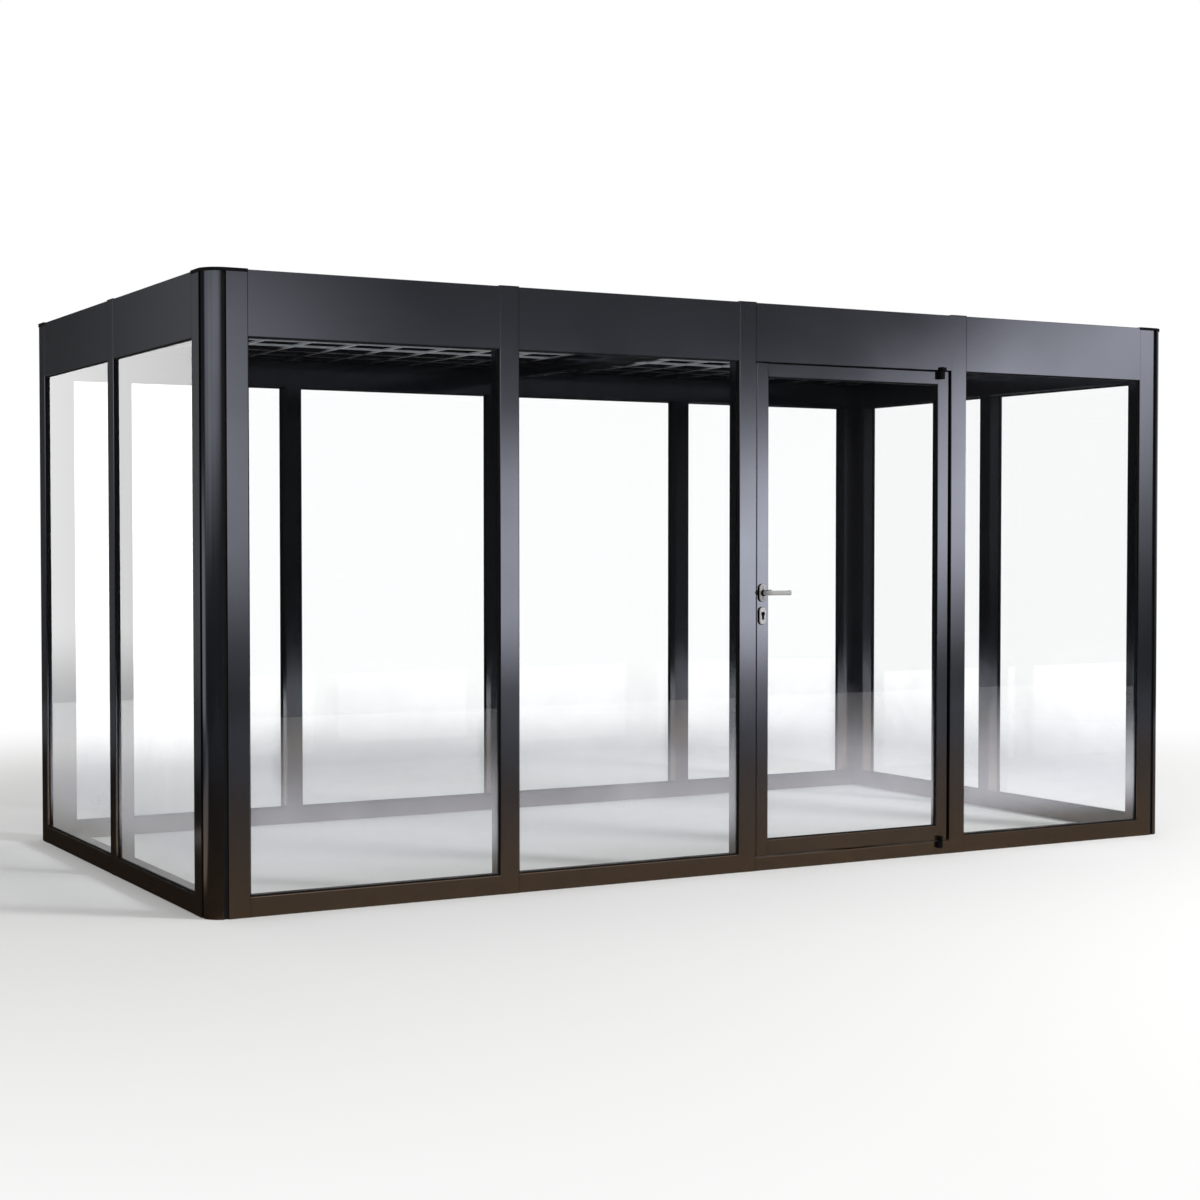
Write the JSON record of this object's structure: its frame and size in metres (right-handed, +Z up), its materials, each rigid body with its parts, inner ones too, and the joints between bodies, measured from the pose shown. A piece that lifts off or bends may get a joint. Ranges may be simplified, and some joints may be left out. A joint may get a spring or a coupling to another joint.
{
  "type": "garden greenhouse",
  "caption": "Flat-roofed post-and-beam garden greenhouse with full-height glass, rounded corner posts, deep fascias and a glazed hinged door with a lever handle.",
  "frame": {"origin": "on the ground, under the middle of the whole box, lever handle included", "axes": "+X to the right along the front, +Y from the front to the rear, +Z up; the door is in the front, towards -Y"},
  "size_m": [4.534, 2.4096, 2.303],
  "materials": {
    "powder_coat": "satin anthracite powder coat",
    "black_cap": "matt black",
    "glass": "clear float glass",
    "gasket_rubber": "matt black",
    "roof_sheet": "dark smoked sheet",
    "lattice_aluminium": "satin mill grey",
    "black_steel": "satin black",
    "satin_steel": "satin brushed"
  },
  "bodies": {
    "frame": {"corner_post_front_left": "powder_coat", "corner_post_front_right": "powder_coat", "corner_post_rear_left": "powder_coat", "corner_post_rear_right": "powder_coat", "front_post_left": "powder_coat", "front_post_latch": "powder_coat", "front_post_hinge": "powder_coat", "rear_post_left": "powder_coat", "rear_post_middle": "powder_coat", "rear_post_right": "powder_coat", "left_side_post": "powder_coat", "right_side_post": "powder_coat", "post_caps": "black_cap", "front_fascia": "powder_coat", "rear_fascia": "powder_coat", "left_fascia": "powder_coat", "right_fascia": "powder_coat", "front_base_rails": "powder_coat", "rear_base_rails": "powder_coat", "left_base_rails": "powder_coat", "right_base_rails": "powder_coat", "door_sill": "powder_coat", "front_glass": "glass", "rear_glass": "glass", "left_glass": "glass", "right_glass": "glass", "glazing_gaskets": "gasket_rubber", "roof_centre_beam": "powder_coat", "roof_panel_left": "roof_sheet", "roof_panel_right": "roof_sheet", "ceiling_lattice_left": "lattice_aluminium", "ceiling_lattice_right": "lattice_aluminium", "door_stop": "gasket_rubber", "pivot_lugs": "black_steel"},
    "door": {"door_latch_stile": "powder_coat", "door_hinge_stile": "powder_coat", "door_top_rail": "powder_coat", "door_bottom_rail": "powder_coat", "door_glass": "glass", "door_gaskets": "gasket_rubber", "pivot_arms": "black_steel", "handle_roses": "satin_steel", "lock_cylinder": "satin_steel"},
    "lever": {"outside_lever": "satin_steel", "inside_lever": "satin_steel"}
  },
  "joints": [
    {"name": "door_swing", "type": "hinge", "parent": "frame", "child": "door", "pos_m": [0.979, -1.15615, 1], "axis": [0, 0, 1], "range_deg": [0, 100]},
    {"name": "lever_turn", "type": "hinge", "parent": "door", "child": "lever", "pos_m": [0.07, -1.12215, 1.13], "axis": [0, 1, 0], "range_deg": [0, 45], "stiffness_Nm_per_rad": 1.2, "springref_deg": -20.05}
  ]
}
